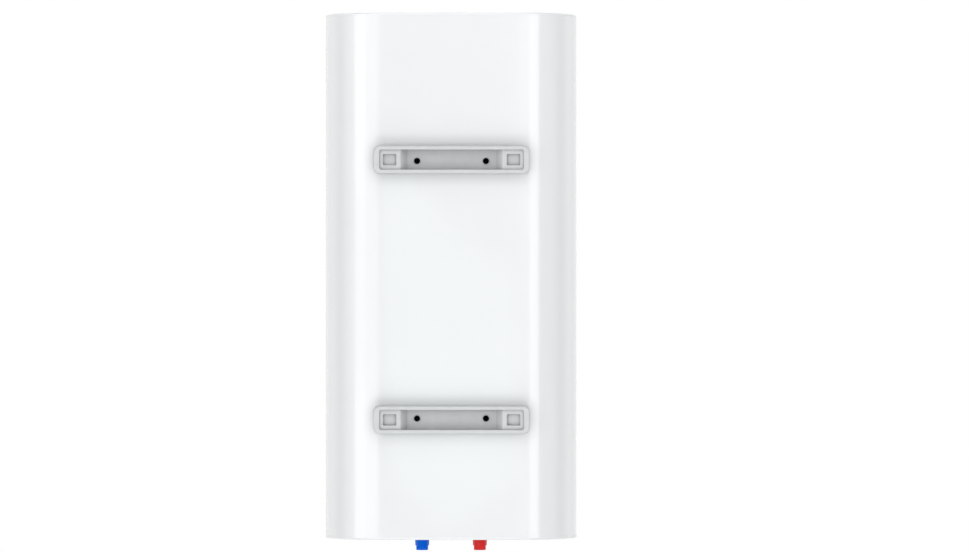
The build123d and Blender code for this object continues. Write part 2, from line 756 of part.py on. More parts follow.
# Control panel: a slim front plate with a neck through the casing's window
neck_length = panel_length - 2 * panel_neck_inset
neck_height = panel_height - 2 * panel_neck_inset
button_places = {"left": -button_inner_x - button_spacing, "right": -button_inner_x}
lens_places = [(board_middle + (i - (lens_count - 1) / 2) * lens_spacing, 0) for i in range(lens_count)]
board_post_places = [
    (s * board_middle + t * (board_length / 2 - board_post_radius), u * (board_height / 2 - board_post_radius))
    for s in (1, -1)
    for t, u in ((1, 1), (-1, -1))
]
boss_depth = housing_depth + casing_sheet - housing_wall - seat_gap
with BuildPart() as control_panel:
    with BuildSketch(upright(front_y, panel_z)):
        SlotOverall(panel_length, panel_height)
    extrude(amount=panel_thickness)
    fillet(control_panel.faces().sort_by(Axis.Y)[0].edges(), panel_edge_radius)
    with BuildSketch(upright(front_y, panel_z)):
        SlotOverall(neck_length, neck_height)
        SlotOverall(neck_length - 2 * panel_neck_wall, neck_height - 2 * panel_neck_wall, mode=Mode.SUBTRACT)
    extrude(amount=-panel_neck_depth)
    with BuildSketch(upright(front_y, panel_z)):
        with GridLocations(panel_boss_spacing, 0, 2, 1):
            Circle(panel_boss_radius)
    extrude(amount=-boss_depth)
    with BuildSketch(upright(front_y, panel_z)):
        with Locations(*board_post_places):
            Circle(board_post_radius)
    extrude(amount=-board_stand)
    with BuildSketch(upright(front_y + boss_depth, panel_z)):
        with GridLocations(panel_boss_spacing, 0, 2, 1):
            Circle(panel_screw_radius + weld_gap)
    extrude(amount=panel_screw_length, mode=Mode.SUBTRACT)
    with BuildSketch(upright(front_y, panel_z)):
        Circle(spindle_radius + 2 * move_gap)
        with Locations(*[(x, 0) for x in button_places.values()]):
            Circle(button_radius + move_gap)
        with Locations(*lens_places):
            Circle(lens_radius + weld_gap)
    extrude(amount=panel_thickness, mode=Mode.SUBTRACT)
save(control_panel.part, "control_panel")

# Housing behind the panel, which clamps it to the casing
housing_length = neck_length + 2 * (housing_margin + housing_wall)
housing_height = neck_height + 2 * (housing_margin + housing_wall)
capillary_port_z = panel_z - thermostat_height / 4
with BuildPart() as panel_housing:
    with BuildSketch(upright(housing_back_y, panel_z)):
        SlotOverall(housing_length, housing_height)
    extrude(amount=housing_depth - weld_gap)
    with BuildSketch(upright(housing_back_y - housing_wall, panel_z)):
        SlotOverall(housing_length - 2 * housing_wall, housing_height - 2 * housing_wall)
    extrude(amount=housing_depth, mode=Mode.SUBTRACT)
    with BuildSketch(upright(housing_back_y, panel_z)):
        with GridLocations(panel_boss_spacing, 0, 2, 1):
            Circle(panel_screw_radius + seat_gap)
        with Locations((0, capillary_port_z - panel_z)):
            Circle(capillary_radius + move_gap)
    extrude(amount=housing_wall, mode=Mode.SUBTRACT)
save(panel_housing.part, "panel_housing")

# Screws that hold the housing to the panel
with BuildPart() as panel_screws:
    with BuildSketch(upright(housing_back_y, panel_z)):
        with GridLocations(panel_boss_spacing, 0, 2, 1):
            Circle(panel_screw_head_radius)
    extrude(amount=-panel_screw_head_height)
    with BuildSketch(upright(housing_back_y, panel_z)):
        with GridLocations(panel_boss_spacing, 0, 2, 1):
            Circle(panel_screw_radius)
    extrude(amount=panel_screw_length)
save(panel_screws.part, "panel_screws")

# Thermostat, with a bore for its spindle
thermostat_back_y = front_y + thermostat_depth
with BuildPart() as thermostat:
    with BuildSketch(upright(front_y, panel_z)):
        Rectangle(thermostat_width, thermostat_height)
    extrude(amount=-thermostat_depth)
    with BuildSketch(upright(front_y, panel_z)):
        Circle(spindle_radius + spindle_gap)
    extrude(amount=-spindle_grip - move_gap, mode=Mode.SUBTRACT)
save(thermostat.part, "thermostat")

# Spindle of the knob
knob_base_y = panel_face_y - move_gap
knob_face_y = knob_base_y - knob_height
with BuildPart() as knob_spindle:
    with BuildSketch(upright(front_y + spindle_grip, panel_z)):
        Circle(spindle_radius)
    extrude(amount=spindle_grip + panel_thickness + move_gap + knob_height - 2 * knob_skirt_height)
save(knob_spindle.part, "knob_spindle")

# Temperature knob: a skirt and a fluted grip with a pointer groove
pointer = math.radians(knob_rest_turn)
pointer_place = (math.sin(pointer) * knob_radius / 2, math.cos(pointer) * knob_radius / 2)
with BuildPart() as temperature_knob:
    with BuildSketch(upright(knob_base_y, panel_z)):
        Circle(knob_skirt_radius)
    extrude(amount=knob_skirt_height)
    with BuildSketch(upright(knob_base_y - knob_skirt_height, panel_z)):
        Circle(knob_radius)
        with PolarLocations(knob_radius + knob_flute_radius - knob_flute_depth, knob_flute_count):
            Circle(knob_flute_radius, mode=Mode.SUBTRACT)
    extrude(amount=knob_height - knob_skirt_height, taper=knob_taper)
    fillet(temperature_knob.faces().sort_by(Axis.Y)[0].edges(), knob_edge_radius)
    with BuildSketch(upright(knob_face_y, panel_z)):
        with Locations(Location(pointer_place, -knob_rest_turn)):
            Rectangle(knob_mark_width, knob_radius / 2)
    extrude(amount=-knob_mark_depth, mode=Mode.SUBTRACT)
    with BuildSketch(upright(knob_base_y, panel_z)):
        Circle(spindle_radius + spindle_gap)
    extrude(amount=knob_height - 2 * knob_skirt_height + spindle_gap, mode=Mode.SUBTRACT)
save(temperature_knob.part, "temperature_knob")

# Power buttons, each held behind the panel by a collar
for name, button_x in button_places.items():
    collar_y = front_y + move_gap
    with BuildPart() as power_button:
        with BuildSketch(upright(collar_y, panel_z, button_x)):
            Circle(button_radius)
        extrude(amount=panel_thickness + move_gap + button_proud)
        fillet(power_button.faces().sort_by(Axis.Y)[0].edges(), button_edge_radius)
        with BuildSketch(upright(collar_y, panel_z, button_x)):
            Circle(button_radius + button_collar)
        extrude(amount=-button_collar_height)
    save(power_button.part, f"{name}_power_button")

# Boards on the panel's posts, with the switches and lamps on them
board_y = front_y + board_stand
switch_front_y = front_y + 2 * move_gap + button_collar_height + button_travel
for name, board_x in {"switch_board": -board_middle, "lamp_board": board_middle}.items():
    with BuildPart() as board:
        with BuildSketch(upright(board_y, panel_z, board_x)):
            Rectangle(board_length, board_height)
        extrude(amount=-board_sheet)
    save(board.part, name)

with BuildPart() as push_switches:
    with BuildSketch(upright(board_y, panel_z)):
        with Locations(*[(x, 0) for x in button_places.values()]):
            Rectangle(switch_size, switch_size)
    extrude(amount=board_y - switch_front_y)
save(push_switches.part, "push_switches")

with BuildPart() as indicator_lenses:
    with BuildSketch(upright(front_y, panel_z)):
        with Locations(*lens_places):
            Circle(lens_radius)
    extrude(amount=panel_thickness + lens_proud)
    with BuildSketch(upright(front_y, panel_z)):
        with Locations(*lens_places):
            Circle(lens_radius + lens_flange)
    extrude(amount=-lens_flange_height)
save(indicator_lenses.part, "indicator_lenses")

with BuildPart() as lamps:
    with BuildSketch(upright(board_y, panel_z)):
        with Locations(*lens_places):
            Circle(lamp_radius)
    extrude(amount=board_stand - lens_flange_height - seat_gap)
save(lamps.part, "lamps")

# Safety cut-out on the back of the housing, with its reset button underneath
cutout_foot_z = panel_z - cutout_height / 2
cutout_y = housing_back_y + cutout_depth / 2
with BuildPart() as safety_cutout:
    with BuildSketch(upright(housing_back_y, panel_z, cutout_x)):
        Rectangle(cutout_width, cutout_height)
    extrude(amount=-cutout_depth)
    with BuildSketch(level(cutout_foot_z, cutout_x, cutout_y)):
        Circle(reset_radius + move_gap)
    extrude(amount=reset_length - reset_proud + reset_travel + move_gap, mode=Mode.SUBTRACT)
save(safety_cutout.part, "safety_cutout")

with BuildPart() as reset_button:
    with BuildSketch(level(cutout_foot_z - reset_proud, cutout_x, cutout_y)):
        Circle(reset_radius)
    extrude(amount=reset_length)
save(reset_button.part, "reset_button")

# Terminal block on the back of the housing
terminal_back_y = housing_back_y + terminal_depth
terminal_pitch = terminal_width / terminal_pocket_count
with BuildPart() as terminal_block:
    with BuildSketch(upright(housing_back_y, panel_z, terminal_x)):
        Rectangle(terminal_width, terminal_height)
    extrude(amount=-terminal_depth)
    with BuildSketch(upright(terminal_back_y, panel_z, terminal_x)):
        with GridLocations(terminal_pitch, 0, terminal_pocket_count, 1):
            Circle(terminal_pocket_radius)
    extrude(amount=terminal_pocket_depth, mode=Mode.SUBTRACT)
save(terminal_block.part, "terminal_block")

# Capillaries, from the thermostat and the cut-out to the bulbs in the thermowells
well_y = mid_y - well_offset
bulb_z = flange_z + flange_thickness
run_z = flange_z - element_stub - element_pin_length - 2 * capillary_bend / 3
capillaries = {
    "thermostat_capillary": (
        -1,
        [
            (0, thermostat_back_y, capillary_port_z),
            (0, housing_back_y + 3 * capillary_bend, capillary_port_z),
            (-0.6 * tank_x, (housing_back_y + well_y) / 2 + capillary_bend, run_z),
            (-tank_x, well_y, run_z),
        ],
    ),
    "cutout_capillary": (
        1,
        [
            (cutout_x, housing_back_y + cutout_depth, capillary_port_z),
            (cutout_x, housing_back_y + cutout_depth + 2 * capillary_bend, capillary_port_z),
            (tank_x - 2 * capillary_bend, well_y, run_z),
            (tank_x, well_y, run_z),
        ],
    ),
}
for name, (side, points) in capillaries.items():
    with BuildPart() as capillary:
        with BuildLine() as route:
            FilletPolyline(*points, (side * tank_x, well_y, bulb_z), radius=capillary_bend)
        with BuildSketch(Plane(origin=route.line @ 0, z_dir=route.line % 0)):
            Circle(capillary_radius)
        sweep()
        with BuildSketch(level(bulb_z, side * tank_x, well_y)):
            Circle(bulb_radius)
        extrude(amount=bulb_length)
    save(capillary.part, name)

# Leads, from the elements' pins along the bottom to the terminal block's pockets
pin_z = flange_z - element_stub - element_pin_length
lead_y = terminal_back_y + lead_stand
lead_z = bottom_z + lead_rise
pocket_floor_y = terminal_back_y - terminal_pocket_depth
pin_places = [-tank_x - leg_x, -tank_x + leg_x, tank_x - leg_x, tank_x + leg_x]
with BuildPart() as element_leads:
    for i, pin_x in enumerate(pin_places):
        pocket_x = terminal_x + (i - (terminal_pocket_count - 1) / 2) * terminal_pitch
        with BuildLine() as route:
            FilletPolyline(
                (pin_x, mid_y, pin_z),
                (pin_x, mid_y, lead_z),
                (pocket_x, lead_y, lead_z),
                (pocket_x, lead_y, panel_z),
                (pocket_x, pocket_floor_y, panel_z),
                radius=lead_bend,
            )
        with BuildSketch(Plane(origin=route.line @ 0, z_dir=route.line % 0)):
            Circle(lead_radius)
        sweep(path=route.line)
save(element_leads.part, "element_leads")
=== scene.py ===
import json
import math

import bmesh
import bpy
from mathutils import Matrix, Vector


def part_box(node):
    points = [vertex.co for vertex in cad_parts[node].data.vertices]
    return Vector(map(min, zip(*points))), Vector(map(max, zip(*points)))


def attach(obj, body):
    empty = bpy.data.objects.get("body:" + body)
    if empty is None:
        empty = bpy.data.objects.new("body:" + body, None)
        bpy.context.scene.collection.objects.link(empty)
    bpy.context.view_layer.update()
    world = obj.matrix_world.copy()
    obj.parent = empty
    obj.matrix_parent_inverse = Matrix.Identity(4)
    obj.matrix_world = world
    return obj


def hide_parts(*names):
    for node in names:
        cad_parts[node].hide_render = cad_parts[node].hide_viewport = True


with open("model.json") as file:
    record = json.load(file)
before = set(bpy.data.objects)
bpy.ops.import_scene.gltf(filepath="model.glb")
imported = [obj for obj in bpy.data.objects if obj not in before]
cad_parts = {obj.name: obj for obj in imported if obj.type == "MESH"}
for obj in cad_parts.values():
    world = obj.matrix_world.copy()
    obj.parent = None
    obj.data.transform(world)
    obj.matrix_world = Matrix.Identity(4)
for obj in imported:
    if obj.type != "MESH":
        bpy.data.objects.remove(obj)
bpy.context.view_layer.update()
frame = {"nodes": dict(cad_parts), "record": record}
nodes = frame["nodes"]
slotOf = {row["node"]: row["material_slot"] for row in frame["record"]["subparts"]}
mm = 0.001
print("frame:", len(nodes), "nodes")


def hexColor(text):
    # sRGB hex to the linear values that a shader takes
    parts = [int(text[i : i + 2], 16) / 255 for i in (1, 3, 5)]
    return tuple(c / 12.92 if c <= 0.04045 else ((c + 0.055) / 1.055) ** 2.4 for c in parts) + (1.0,)


def perMm(size):
    # texture scale, per metre, that gives a pattern of this size in millimetres
    return 1000.0 / size


def addNode(tree, kind, links=None, values=None, **settings):
    node = tree.nodes.new(kind)
    for name, value in settings.items():
        setattr(node, name, value)
    for name, value in (values or {}).items():
        node.inputs[name].default_value = value
    for name, socket in (links or {}).items():
        tree.links.new(socket, node.inputs[name])
    return node


def startMaterial(name, **sockets):
    # a Principled shader with its fixed values, and the piece's own coordinates
    material = bpy.data.materials.new(name)
    material.use_nodes = True
    tree = material.node_tree
    tree.nodes.clear()
    output = addNode(tree, "ShaderNodeOutputMaterial")
    fixed = {socket.replace("_", " "): value for socket, value in sockets.items()}
    shader = addNode(tree, "ShaderNodeBsdfPrincipled", values=fixed)
    tree.links.new(shader.outputs["BSDF"], output.inputs["Surface"])
    place = addNode(tree, "ShaderNodeTexCoord").outputs["Object"]
    return material, tree, shader, place


def mottle(tree, shader, place, dark, light, size, stretch=(1, 1, 1)):
    # colour that drifts between two near tones over patches of this size in millimetres, and gives the drift
    turn = addNode(tree, "ShaderNodeMapping", {"Vector": place}, {"Scale": stretch})
    patches = {"Scale": perMm(size), "Detail": 3.0}
    noise = addNode(tree, "ShaderNodeTexNoise", {"Vector": turn.outputs["Vector"]}, patches)
    ramp = addNode(tree, "ShaderNodeValToRGB", {"Fac": noise.outputs["Fac"]})
    first, last = ramp.color_ramp.elements
    first.color, last.color = hexColor(dark), hexColor(light)
    first.position, last.position = 0.3, 0.7
    tree.links.new(ramp.outputs["Color"], shader.inputs["Base Color"])
    return noise.outputs["Fac"]


def roughen(tree, shader, pattern, low, high):
    # roughness that follows a pattern
    spread = addNode(tree, "ShaderNodeMapRange", {"Value": pattern}, {"To Min": low, "To Max": high})
    tree.links.new(spread.outputs["Result"], shader.inputs["Roughness"])


def grain(tree, shader, place, size, depth, stretch=(1, 1, 1)):
    # relief of this grain size and depth, both in millimetres
    turn = addNode(tree, "ShaderNodeMapping", {"Vector": place}, {"Scale": stretch})
    grit = {"Scale": perMm(size), "Detail": 2.0}
    noise = addNode(tree, "ShaderNodeTexNoise", {"Vector": turn.outputs["Vector"]}, grit)
    raised = {"Strength": 1.0, "Distance": depth * mm}
    bump = addNode(tree, "ShaderNodeBump", {"Height": noise.outputs["Fac"]}, raised)
    tree.links.new(bump.outputs["Normal"], shader.inputs["Normal"])


def paintCornerShade(tree, shader, reach, depth):
    # painted shade: colour that falls off where the surface is closed in, over this reach in millimetres,
    # taken from ambient occlusion
    closed = addNode(tree, "ShaderNodeAmbientOcclusion", values={"Distance": reach * mm}, samples=12)
    eased = addNode(tree, "ShaderNodeMath", {0: closed.outputs["AO"]}, {1: depth}, operation="POWER")
    plain = shader.inputs["Base Color"].links[0].from_socket
    tones = {6: plain, 7: eased.outputs[0]}  # sockets 6 and 7 and output 2 are the colour ones
    mixed = addNode(tree, "ShaderNodeMix", tones, {0: 1.0}, data_type="RGBA", blend_type="MULTIPLY")
    tree.links.new(mixed.outputs[2], shader.inputs["Base Color"])


# baked white enamel on steel sheet: hard gloss, soft wave of orange peel
def enamelSheet(name):
    material, tree, shader, place = startMaterial(
        name, IOR=1.5, Coat_Weight=0.9, Coat_Roughness=0.08, Coat_IOR=1.5
    )
    drift = mottle(tree, shader, place, "#f0f2f3", "#f1f3f4", size=60)
    roughen(tree, shader, drift, low=0.22, high=0.27)
    grain(tree, shader, place, size=14, depth=0.002)
    # painted shade: the white darkens next to the brackets and in other closed-in corners
    paintCornerShade(tree, shader, reach=24, depth=0.26)
    return material


# injection-moulded ABS in the casing's white, a little softer in gloss
def whiteMoulding(name):
    material, tree, shader, place = startMaterial(name, IOR=1.53, Coat_Weight=0.2, Coat_Roughness=0.1)
    drift = mottle(tree, shader, place, "#edf0f1", "#f1f3f4", size=45)
    roughen(tree, shader, drift, low=0.26, high=0.32)
    grain(tree, shader, place, size=5, depth=0.004)
    return material


# light grey powder coat on pressed steel: even satin with a fine pebble
def greyPowderCoat(name):
    material, tree, shader, place = startMaterial(name, IOR=1.48)
    drift = mottle(tree, shader, place, "#d0d2d3", "#d5d7d8", size=14)
    roughen(tree, shader, drift, low=0.42, high=0.5)
    grain(tree, shader, place, size=1.6, depth=0.02)
    # painted shade: the grey darkens down in the tray, its pockets and its corners
    paintCornerShade(tree, shader, reach=35, depth=0.5)
    return material


# black-oxide steel: nearly no colour, dull sheen
def blackOxide(name):
    material, tree, shader, place = startMaterial(name, Specular_IOR_Level=0.015)
    drift = mottle(tree, shader, place, "#010101", "#030303", size=1.5)
    roughen(tree, shader, drift, low=0.38, high=0.55)
    grain(tree, shader, place, size=0.4, depth=0.01)
    return material


# moulded polyethylene: saturated, waxy, lets a little light through
def waxyPolyethylene(name, dark, light):
    wax = {"IOR": 1.51, "Specular_IOR_Level": 0.07, "Subsurface_Weight": 0.05}
    material, tree, shader, place = startMaterial(name, Subsurface_Radius=(mm, mm, mm), **wax)
    drift = mottle(tree, shader, place, dark, light, size=6)
    roughen(tree, shader, drift, low=0.24, high=0.32)
    grain(tree, shader, place, size=1.1, depth=0.015)
    return material


# drawn or rolled steel: bright metal with long lines along one axis, coarser than real ones so that they show
def linedSteel(name, dark, light, stretch, rough=(0.28, 0.42)):
    material, tree, shader, place = startMaterial(name, Metallic=1.0)
    drift = mottle(tree, shader, place, dark, light, 2.5, stretch)
    roughen(tree, shader, drift, *rough)
    grain(tree, shader, place, 1.2, 0.006, stretch)
    return material


# zinc plate: cool bright metal with crystal patches, drawn large enough to show
def zincPlate(name, dark, light, rough):
    material, tree, shader, place = startMaterial(name, Metallic=1.0)
    cells = addNode(tree, "ShaderNodeTexVoronoi", {"Vector": place}, {"Scale": perMm(1.8)})
    ramp = addNode(tree, "ShaderNodeValToRGB", {"Fac": cells.outputs["Color"]})
    first, last = ramp.color_ramp.elements
    first.color, last.color = hexColor(dark), hexColor(light)
    tree.links.new(ramp.outputs["Color"], shader.inputs["Base Color"])
    roughen(tree, shader, cells.outputs["Distance"], *rough)
    grain(tree, shader, place, size=0.8, depth=0.008)
    return material


# sprayed polyurethane foam: pale yellow cells, quite matt
def cellFoam(name):
    material, tree, shader, place = startMaterial(name, Roughness=0.95)
    mottle(tree, shader, place, "#d9c078", "#efdfa6", size=4)
    cells = addNode(tree, "ShaderNodeTexVoronoi", {"Vector": place}, {"Scale": perMm(2.2)})
    raised = {"Strength": 1.0, "Distance": 0.6 * mm}
    bump = addNode(tree, "ShaderNodeBump", {"Height": cells.outputs["Distance"]}, raised)
    tree.links.new(bump.outputs["Normal"], shader.inputs["Normal"])
    return material


# mouldings, rubber, castings and sprayed paint: two near tones, a grain and a range of roughness
def moulding(name, dark, light, rough, grit, depth, **sockets):
    patch = 8 * grit  # the tone drifts over several grains
    material, tree, shader, place = startMaterial(name, **sockets)
    drift = mottle(tree, shader, place, dark, light, patch)
    roughen(tree, shader, drift, *rough)
    grain(tree, shader, place, grit, depth)
    return material


along = (0.05, 1, 1)  # lines that run along x
upward = (1, 1, 0.05)  # lines that run up z
outward = (1, 0.05, 1)  # lines that run out of the front
finishes = {
    "casing_white": enamelSheet("whiteEnamelSheet"),
    "cap_white": whiteMoulding("whiteAbsMoulding"),
    "bracket_grey": greyPowderCoat("greyPowderCoat"),
    "black_steel": blackOxide("blackOxideSteel"),
    "thread_cap_blue": waxyPolyethylene("bluePolyethylene", "#005dd4", "#0064db"),
    "thread_cap_red": waxyPolyethylene("redPolyethylene", "#d62d2d", "#dd3636"),
    "nipple_steel": zincPlate("zincPlatedPipe", "#a9adb2", "#c9ccd0", rough=(0.25, 0.4)),
    "zinc_fastener": zincPlate("zincFastener", "#b2b5b9", "#d0d2d5", rough=(0.36, 0.5)),
    "foam": cellFoam("polyurethaneFoam"),
    # bare metals: the grain of rolling, drawing or turning shows as lines
    "tank_steel": linedSteel("rolledStainless", "#9a9da1", "#b3b6b9", along),
    "flange_steel": linedSteel("turnedFlangeSteel", "#96989b", "#b0b2b5", along),
    "spindle_steel": linedSteel("turnedSpindleSteel", "#9fa1a4", "#b6b8bb", outward),
    "strap_steel": linedSteel("pressedStrapSteel", "#7f8185", "#97999c", along, rough=(0.35, 0.5)),
    "element_sheath": linedSteel("annealedSheath", "#5d5852", "#77706a", upward, rough=(0.4, 0.55)),
    "copper": linedSteel("drawnCopper", "#b06f4a", "#c98a63", upward, rough=(0.25, 0.38)),
    "button_silver": linedSteel("satinMetallicButton", "#b3b6ba", "#c6c9cc", along, rough=(0.3, 0.4)),
    # cast metal, dull and rough, and fine metallic paint
    "magnesium": moulding(
        "castMagnesium", "#a3a5a8", "#bcbec1", rough=(0.5, 0.65), grit=1.2, depth=0.04, Metallic=1.0
    ),
    "knob_silver": moulding(
        "satinMetallicPaint", "#b7babe", "#c1c4c7", rough=(0.32, 0.4), grit=0.5, depth=0.006, Metallic=1.0
    ),
    # rubber and silicone: soft and dull
    "black_rubber": moulding(
        "blackNitrileRubber", "#0d0d0d", "#161616", rough=(0.6, 0.75), grit=0.7, depth=0.02
    ),
    "lead_silicone": moulding("siliconeLead", "#c9c4b6", "#d6d2c5", rough=(0.5, 0.62), grit=0.8, depth=0.01),
    # moulded plastics: satin, from milky to near black
    "diffuser_plastic": moulding(
        "naturalPolypropylene", "#dad9d2", "#e6e5df", rough=(0.4, 0.5), grit=1.0, depth=0.01
    ),
    "housing_plastic": moulding(
        "greyPolypropylene", "#b6b8b9", "#c4c6c7", rough=(0.45, 0.55), grit=1.0, depth=0.012
    ),
    "black_moulding": moulding(
        "blackPhenolic", "#101011", "#1a1a1c", rough=(0.4, 0.55), grit=0.9, depth=0.015
    ),
    "reset_red": moulding("redNylon", "#a91418", "#b81a1e", rough=(0.35, 0.45), grit=0.7, depth=0.01),
    "panel_dark": moulding(
        "satinBlackAbs",
        "#08090a",
        "#0d0e0f",
        rough=(0.26, 0.34),
        grit=2.0,
        depth=0.004,
        Specular_IOR_Level=0.22,
    ),
    # lacquered laminate, and glossy lamps and lenses
    "board_green": moulding("boardLaminate", "#0c4a2a", "#125a34", rough=(0.3, 0.4), grit=0.9, depth=0.006),
    "lamp_clear": moulding("clearEpoxyLamp", "#d8d8c8", "#e6e6da", rough=(0.12, 0.2), grit=1.5, depth=0.004),
    "lens_amber": moulding(
        "amberPolycarbonate", "#d9770e", "#e58a20", rough=(0.12, 0.2), grit=1.5, depth=0.003, IOR=1.58
    ),
}
for nodeName, piece in nodes.items():
    piece.data.materials.clear()
    piece.data.materials.append(finishes[slotOf[nodeName]])
print("finishes:", len(finishes))

# how close points merge and cuts snap, and the angle from which an edge stays sharp
meshCare = {
    "mergeWithin": 0.002,  # millimetres
    "cutWithin": 0.0005,
    "sharpFrom": 35,  # degrees
}


# joins a finished mesh to the part: its finish, the body it rides on and the nodes it stands for
def addPiece(name, mesh, slot, body, *replaced):
    bmesh.ops.remove_doubles(mesh, verts=mesh.verts, dist=meshCare["mergeWithin"] * mm)
    bmesh.ops.recalc_face_normals(mesh, faces=mesh.faces)
    data = bpy.data.meshes.new(name)
    mesh.to_mesh(data)
    mesh.free()
    data.shade_smooth()
    data.set_sharp_from_angle(angle=math.radians(meshCare["sharpFrom"]))
    data.materials.append(finishes[slot])
    piece = bpy.data.objects.new(name, data)
    bpy.context.collection.objects.link(piece)
    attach(piece, body)
    if replaced:
        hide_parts(*replaced)


def pointsOf(geometry):
    return [item for item in geometry if isinstance(item, bmesh.types.BMVert)]


def growLoop(mesh, loop, radius, lift=0.0):
    # extrudes an open round loop to a radius and up by a lift, both in millimetres, and gives the new loop
    grown = bmesh.ops.extrude_edge_only(mesh, edges=loop)["geom"]
    for point in pointsOf(grown):
        flat = Vector((point.co.x, point.co.y, 0)).normalized() * radius * mm
        point.co = (flat.x, flat.y, point.co.z + lift * mm)
    return [item for item in grown if isinstance(item, bmesh.types.BMEdge) and item.is_boundary]


def cutAcross(mesh, at, facing, **clearing):
    whole = mesh.verts[:] + mesh.edges[:] + mesh.faces[:]
    within = meshCare["cutWithin"] * mm
    bmesh.ops.bisect_plane(mesh, geom=whole, dist=within, plane_co=at, plane_no=facing, **clearing)


# pipe nipples with their half-inch pipe thread, in millimetres
nipple = {
    "pitch": 1.814,
    "crest": 10.478,
    "root": 9.316,
    "tooth": ((0.0, "root"), (0.12, "root"), (0.5, "crest"), (0.62, "crest")),  # shares of the pitch
    "turns": 7,
    "startTurns": 1.5,  # below the end, cut off again
    "spareTurns": 3,
    "steps": 48,  # round one turn
    "bore": 7.5,
    "endChamfer": 1.25,
    "chamferRings": (1 / 3, 2 / 3, 1.0),  # heights of the cuts that it needs
    "boreChamfer": 0.5,
    "runOut": 0.8,
}


def threadedNipple(name, node):
    low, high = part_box(node)
    length = (high.z - low.z) / mm
    pitch = nipple["pitch"] * mm
    top = nipple["turns"] * pitch
    mesh = bmesh.new()
    profile = []
    for turn in range(nipple["turns"] + nipple["spareTurns"]):
        for share, level in nipple["tooth"]:
            height = (turn + share - nipple["startTurns"]) * pitch
            profile.append(mesh.verts.new((nipple[level] * mm, 0, height)))
    lines = [mesh.edges.new(pair) for pair in zip(profile, profile[1:])]
    bmesh.ops.spin(
        mesh,
        geom=profile + lines,
        axis=(0, 0, 1),
        dvec=(0, 0, pitch / nipple["steps"]),
        angle=2 * math.pi,
        steps=nipple["steps"],
    )
    bmesh.ops.remove_doubles(mesh, verts=mesh.verts, dist=meshCare["mergeWithin"] * mm)
    cutAcross(mesh, (0, 0, 0), (0, 0, 1), clear_inner=True)
    cutAcross(mesh, (0, 0, top), (0, 0, 1), clear_outer=True)
    for height in nipple["chamferRings"]:
        cutAcross(mesh, (0, 0, height * mm), (0, 0, 1))
    for point in mesh.verts:
        most = nipple["crest"] * mm - max(nipple["endChamfer"] * mm - point.co.z, 0)
        if point.co.xy.length > most:
            point.co.xy = point.co.xy.normalized() * most
    ends = [edge for edge in mesh.edges if edge.is_boundary]
    endLoop = [edge for edge in ends if edge.verts[0].co.z < top / 2]
    topLoop = [edge for edge in ends if edge.verts[0].co.z > top / 2]
    endLoop = growLoop(mesh, endLoop, nipple["bore"] + nipple["boreChamfer"])
    endLoop = growLoop(mesh, endLoop, nipple["bore"], nipple["boreChamfer"])
    endLoop = growLoop(mesh, endLoop, nipple["bore"], length - nipple["boreChamfer"])
    topLoop = growLoop(mesh, topLoop, nipple["crest"], nipple["runOut"])
    topLoop = growLoop(mesh, topLoop, nipple["crest"], length - nipple["runOut"] - top / mm)
    bmesh.ops.bridge_loops(mesh, edges=endLoop + topLoop)
    middle = (low + high) / 2
    bmesh.ops.translate(mesh, verts=mesh.verts, vec=(middle.x, middle.y, low.z))
    addPiece(name, mesh, "nipple_steel", "heater", node)


threadedNipple("threaded_cold_nipple", "cold_nipple")
threadedNipple("threaded_hot_nipple", "hot_nipple")

# pan-head screws with a cross recess under the bottom cap, in millimetres
capScrew = {
    "faceRadius": 2.9,
    "crown": ((3.7, 0.2), (4.25, 0.45), (4.5, 0.55)),  # radius and rise of each ring of the head
    "headRadius": 4.5,
    "headHeight": 2.0,
    "shankRadius": 2.4,
    "tip": (1.4, 1.0),  # radius and length
    "recess": (1.0, 4.6),  # width and length of its two arms
    "recessDepth": 1.5,
    "recessTaper": 0.7,
    "segments": 32,
}


def crossScrews(name, node):
    low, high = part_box(node)
    width, length = (size / 2 * mm for size in capScrew["recess"])
    mesh = bmesh.new()
    faceRadius = capScrew["faceRadius"] * mm
    bmesh.ops.create_circle(mesh, cap_ends=True, segments=capScrew["segments"], radius=faceRadius)
    for offset in (width, -width, length, -length):
        cutAcross(mesh, (offset, 0, 0), (1, 0, 0))
        cutAcross(mesh, (0, offset, 0), (0, 1, 0))
    arms = []
    for face in mesh.faces:
        near, far = sorted(abs(part) for part in face.calc_center_median().xy)
        if near < width and far < length:
            arms.append(face)
    rim = [edge for edge in mesh.edges if edge.is_boundary]
    recessFloor = pointsOf(bmesh.ops.extrude_face_region(mesh, geom=arms)["geom"])
    taper = capScrew["recessTaper"]
    bmesh.ops.scale(mesh, vec=(taper, taper, 1), verts=recessFloor)
    bmesh.ops.translate(mesh, vec=(0, 0, capScrew["recessDepth"] * mm), verts=recessFloor)
    rise = 0.0
    for radius, lift in capScrew["crown"]:
        rim = growLoop(mesh, rim, radius, lift)
        rise += lift
    tipRadius, tipLength = capScrew["tip"]
    shankLength = (high.z - low.z) / mm - capScrew["headHeight"]
    rim = growLoop(mesh, rim, capScrew["headRadius"], capScrew["headHeight"] - rise)
    rim = growLoop(mesh, rim, capScrew["shankRadius"])
    rim = growLoop(mesh, rim, capScrew["shankRadius"], shankLength - tipLength)
    rim = growLoop(mesh, rim, tipRadius, tipLength)
    bmesh.ops.edgeloop_fill(mesh, edges=rim)
    inset = capScrew["headRadius"] * mm
    bmesh.ops.translate(mesh, verts=mesh.verts, vec=(low.x + inset, low.y + inset, low.z))
    first = mesh.verts[:] + mesh.edges[:] + mesh.faces[:]
    acrossX, acrossY = high.x - low.x - 2 * inset, high.y - low.y - 2 * inset
    for step in ((acrossX, 0, 0), (0, acrossY, 0), (acrossX, acrossY, 0)):
        copied = pointsOf(bmesh.ops.duplicate(mesh, geom=first)["geom"])
        bmesh.ops.translate(mesh, verts=copied, vec=step)
    addPiece(name, mesh, slotOf[node], "heater", node)


